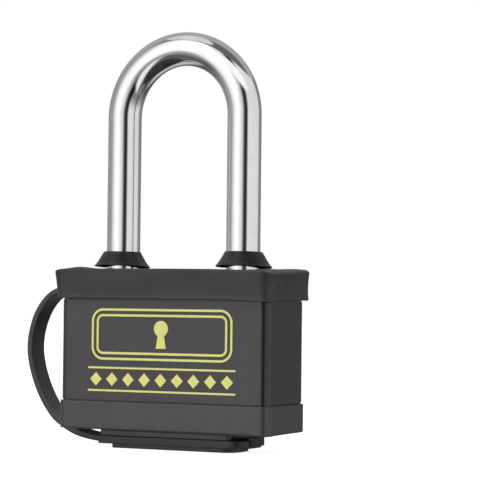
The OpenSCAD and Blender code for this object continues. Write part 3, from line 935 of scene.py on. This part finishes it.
# ---------------------------------------------------------------- putting it together
dress(build_shackle(), "chrome", "shackle", ["shackle"])
seal = build_seal("seal_left", -LEG_X, phase=0.0, shift=-0.28 * MM, tilt=0.16 * MM)
dress(seal, "seal_rubber", "shackle", ["shackle_seal_left"])
seal = build_seal("seal_right", LEG_X, phase=4.0, shift=0.20 * MM, tilt=0.16 * MM)
dress(seal, "seal_rubber", "shackle", ["shackle_seal_right"])
dress(build_top_cap(), "cap_rubber", "root", ["top_cap"])
dress(build_sleeve(), "sleeve", "root", ["body_shell"])
dress(build_bottom_cap(), "base_plastic", "root", ["bottom_cap"])
dress(build_cover(), "cover_rubber", "cover", ["keyway_cover"])
strap = dress(build_strap(), "cap_rubber", None, ["strap"], "strap_rubber")
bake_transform(strap)
dress(build_spring("heel_coil", "heel_spring", 2, 6, 0.45 * MM), "steel", "root", ["heel_spring"])
dress(build_spring("latch_coil", "latch_spring", 0, 7, 0.26 * MM), "steel", "root", ["latch_spring"])
dress(build_vane_springs(), "steel", "core", ["vane_springs"])

SLOT_OF = {s["node"]: s["material_slot"] for s in frame["record"]["subparts"]}
for node_name, node in NODES.items():
    if not node.hide_render:
        node.data.materials.clear()
        node.data.materials.append(MATERIALS[SLOT_OF[node_name]])


# ---------------------------------------------------------------- stage, light and camera
DISTANCE = 0.5258
TARGET = Vector((17.17, 0, 55.54)) * MM
UP = Vector((0, 0, 1))
# From the lock towards the camera, and to the camera's left, along the floor
TO_CAMERA = Vector((math.sin(AZIMUTH), -math.cos(AZIMUTH), 0))
TO_LEFT = Vector((-math.cos(AZIMUTH), -math.sin(AZIMUTH), 0))


def build_camera():
    """A long lens at the photograph's viewing angle, turned a little about its own axis."""
    back = TO_CAMERA * math.cos(ELEVATION) + UP * math.sin(ELEVATION)
    right = (-back).cross(UP).normalized()
    up = right.cross(-back)
    rolled_right = right * math.cos(ROLL) + up * math.sin(ROLL)
    rolled_up = -right * math.sin(ROLL) + up * math.cos(ROLL)
    data = bpy.data.cameras.new("camera")
    data.lens, data.sensor_width = 150, 36
    data.clip_start, data.clip_end = 0.01, 20
    camera = bpy.data.objects.new("camera", data)
    bpy.context.scene.collection.objects.link(camera)
    axes = Matrix((rolled_right, rolled_up, back)).transposed()
    camera.matrix_world = Matrix.Translation(TARGET + back * DISTANCE) @ axes.to_4x4()
    bpy.context.scene.camera = camera


def build_floor():
    """A pale round floor whose rim is far outside the view."""
    segments, radius = 64, 3.0
    floor = make_object("floor", circle(0, 0, 0, radius, segments), [tuple(range(segments))])
    m = Surface("pale_floor")
    m.colour(m.clouds(3, 2, grey(0.50), grey(0.52)))
    m.set(Roughness=0.9, Specular_IOR_Level=0.0, Emission_Strength=0.9, Emission_Color=(1, 1, 1, 1))
    floor.data.materials.append(m.material)
    # Its reflection and its bounce come from the studio's table instead
    floor.visible_glossy = False
    floor.visible_diffuse = False


# The tent's brightness by the angle around the lock in degrees, 0 towards the camera, positive to its right.
# It is 1 for white cloth. A narrow dark gap is open beside the camera, and the cloth behind is greyer.
WALL_LEVELS = [
    (-180, 0.36), (-114, 0.34), (-101, 0.38), (-91, 0.44), (-82, 0.70), (-73, 0.96), (-46, 1.3), (-36, 1.15),
    (-29, 0.94), (-22, 0.87), (-15, 0.76), (-8, 0.42), (-2, 0.10), (5, 0.03), (15, 0.03), (20, 0.24),
    (26, 0.82), (34, 0.84), (106, 0.78), (115, 0.40), (124, 0.28), (150, 0.20), (180, 0.30)]
BRIGHTEST_WALL = max(level for degrees, level in WALL_LEVELS)


class Tent(Tree):
    """The world's node tree, which reads the direction of a ray."""

    def __init__(self, tree):
        super().__init__(tree)
        self.direction = self.new("TexCoord").outputs["Generated"]

    def along(self, axis):
        """The part of the ray's direction that lies along an axis."""
        node = self.new("VectorMath")
        node.operation = "DOT_PRODUCT"
        self.link(self.direction, node.inputs[0])
        node.inputs[1].default_value = axis
        return node.outputs["Value"]

    def eased(self, value, low, high):
        """0 below low, 1 above high, eased between."""
        return self.spread(value, 0, 1, low, high, "SMOOTHSTEP")

    def blend(self, fac, a, b):
        """A value that goes from a to b."""
        node = self.new("Mix")
        node.data_type = "FLOAT"
        self.link(fac, node.inputs[0])
        self.feed(a, node.inputs[2])
        self.feed(b, node.inputs[3])
        return node.outputs[0]

    def walls(self):
        """The brightness of the walls, by the ray's angle around the lock."""
        ray = self.split(self.direction)
        turn = self.math("ARCTAN2", ray["X"], self.math("MULTIPLY", ray["Y"], -1))
        turn = self.math("WRAP", self.math("SUBTRACT", turn, AZIMUTH), math.pi, -math.pi)
        ramp = self.new("ValToRGB")
        elements = ramp.color_ramp.elements
        elements[0].position, elements[1].position = 0, 1
        while len(elements) < len(WALL_LEVELS):
            elements.new(0.5)
        for element, (degrees, level) in zip(elements, WALL_LEVELS):
            element.position = (degrees + 180) / 360
            element.color = (*grey(level / BRIGHTEST_WALL), 1)
        self.link(self.math("DIVIDE", self.math("ADD", turn, math.pi), 2 * math.pi), ramp.inputs["Fac"])
        return self.math("MULTIPLY", ramp.outputs["Color"], BRIGHTEST_WALL)


def build_studio():
    """A white tent with a leaning roof over a table. The camera itself sees plain white."""
    world = bpy.data.worlds.new("studio")
    bpy.context.scene.world = world
    world.use_nodes = True
    world.node_tree.nodes.clear()
    t = Tent(world.node_tree)
    height = t.along(UP)
    front = t.along(TO_CAMERA)
    # The dark gap beside the camera is closed above by a bright strip
    strip = t.math("MULTIPLY", t.eased(height, 0.42, 0.52), t.eased(front, 0.56, 0.66))
    light = t.blend(strip, t.walls(), 1.1)
    # A dark seam runs between the walls and the bright roof, which leans to the left
    seam = t.blend(t.eased(front, -0.25, 0.0), 0.42, 0.14)
    light = t.blend(t.eased(t.along(UP - 0.4 * TO_CAMERA), 0.67, 0.71), light, seam)
    lean = math.radians(20)
    roof = t.along(TO_LEFT * math.sin(lean) + UP * math.cos(lean))
    light = t.blend(t.eased(roof, 0.94, 0.955), light, 0.74)
    # The table is dim at the horizon, pale in front and behind, and black right under the lock
    light = t.math("MULTIPLY", light, t.blend(t.eased(height, -0.45, -0.08), 0.3, 1.0))
    table = t.blend(t.eased(front, -0.45, -0.30), 0.55, 0.12)
    table = t.blend(t.eased(front, 0.50, 0.65), table, 0.95)
    table = t.blend(t.eased(height, -0.88, -0.80), 0.04, table)
    light = t.blend(t.eased(height, -0.62, -0.50), table, light)
    background = t.new("Background")
    background.inputs["Color"].default_value = (1, 1, 1, 1)
    t.link(t.blend(t.new("LightPath").outputs["Is Camera Ray"], light, 1.0), background.inputs["Strength"])
    t.link(background.outputs[0], t.new("OutputWorld").inputs["Surface"])


def build_softbox(name, azimuth_deg, height, distance, size, power):
    """A soft square light that looks at the lock's middle, azimuth_deg to the camera's right."""
    data = bpy.data.lights.new(name, "AREA")
    data.shape, data.size = "SQUARE", size
    data.energy = power
    light = bpy.data.objects.new(name, data)
    a = AZIMUTH + math.radians(azimuth_deg)
    light.location = TARGET + Vector((math.sin(a) * distance, -math.cos(a) * distance, height))
    light.rotation_mode = "QUATERNION"
    light.rotation_quaternion = (light.location - TARGET).to_track_quat("Z", "Y")
    bpy.context.scene.collection.objects.link(light)


build_camera()
build_floor()
build_studio()
build_softbox("key_softbox", azimuth_deg=-48, height=0.45, distance=0.8, size=0.5, power=1.2)
bpy.context.scene.view_settings.view_transform = "Standard"
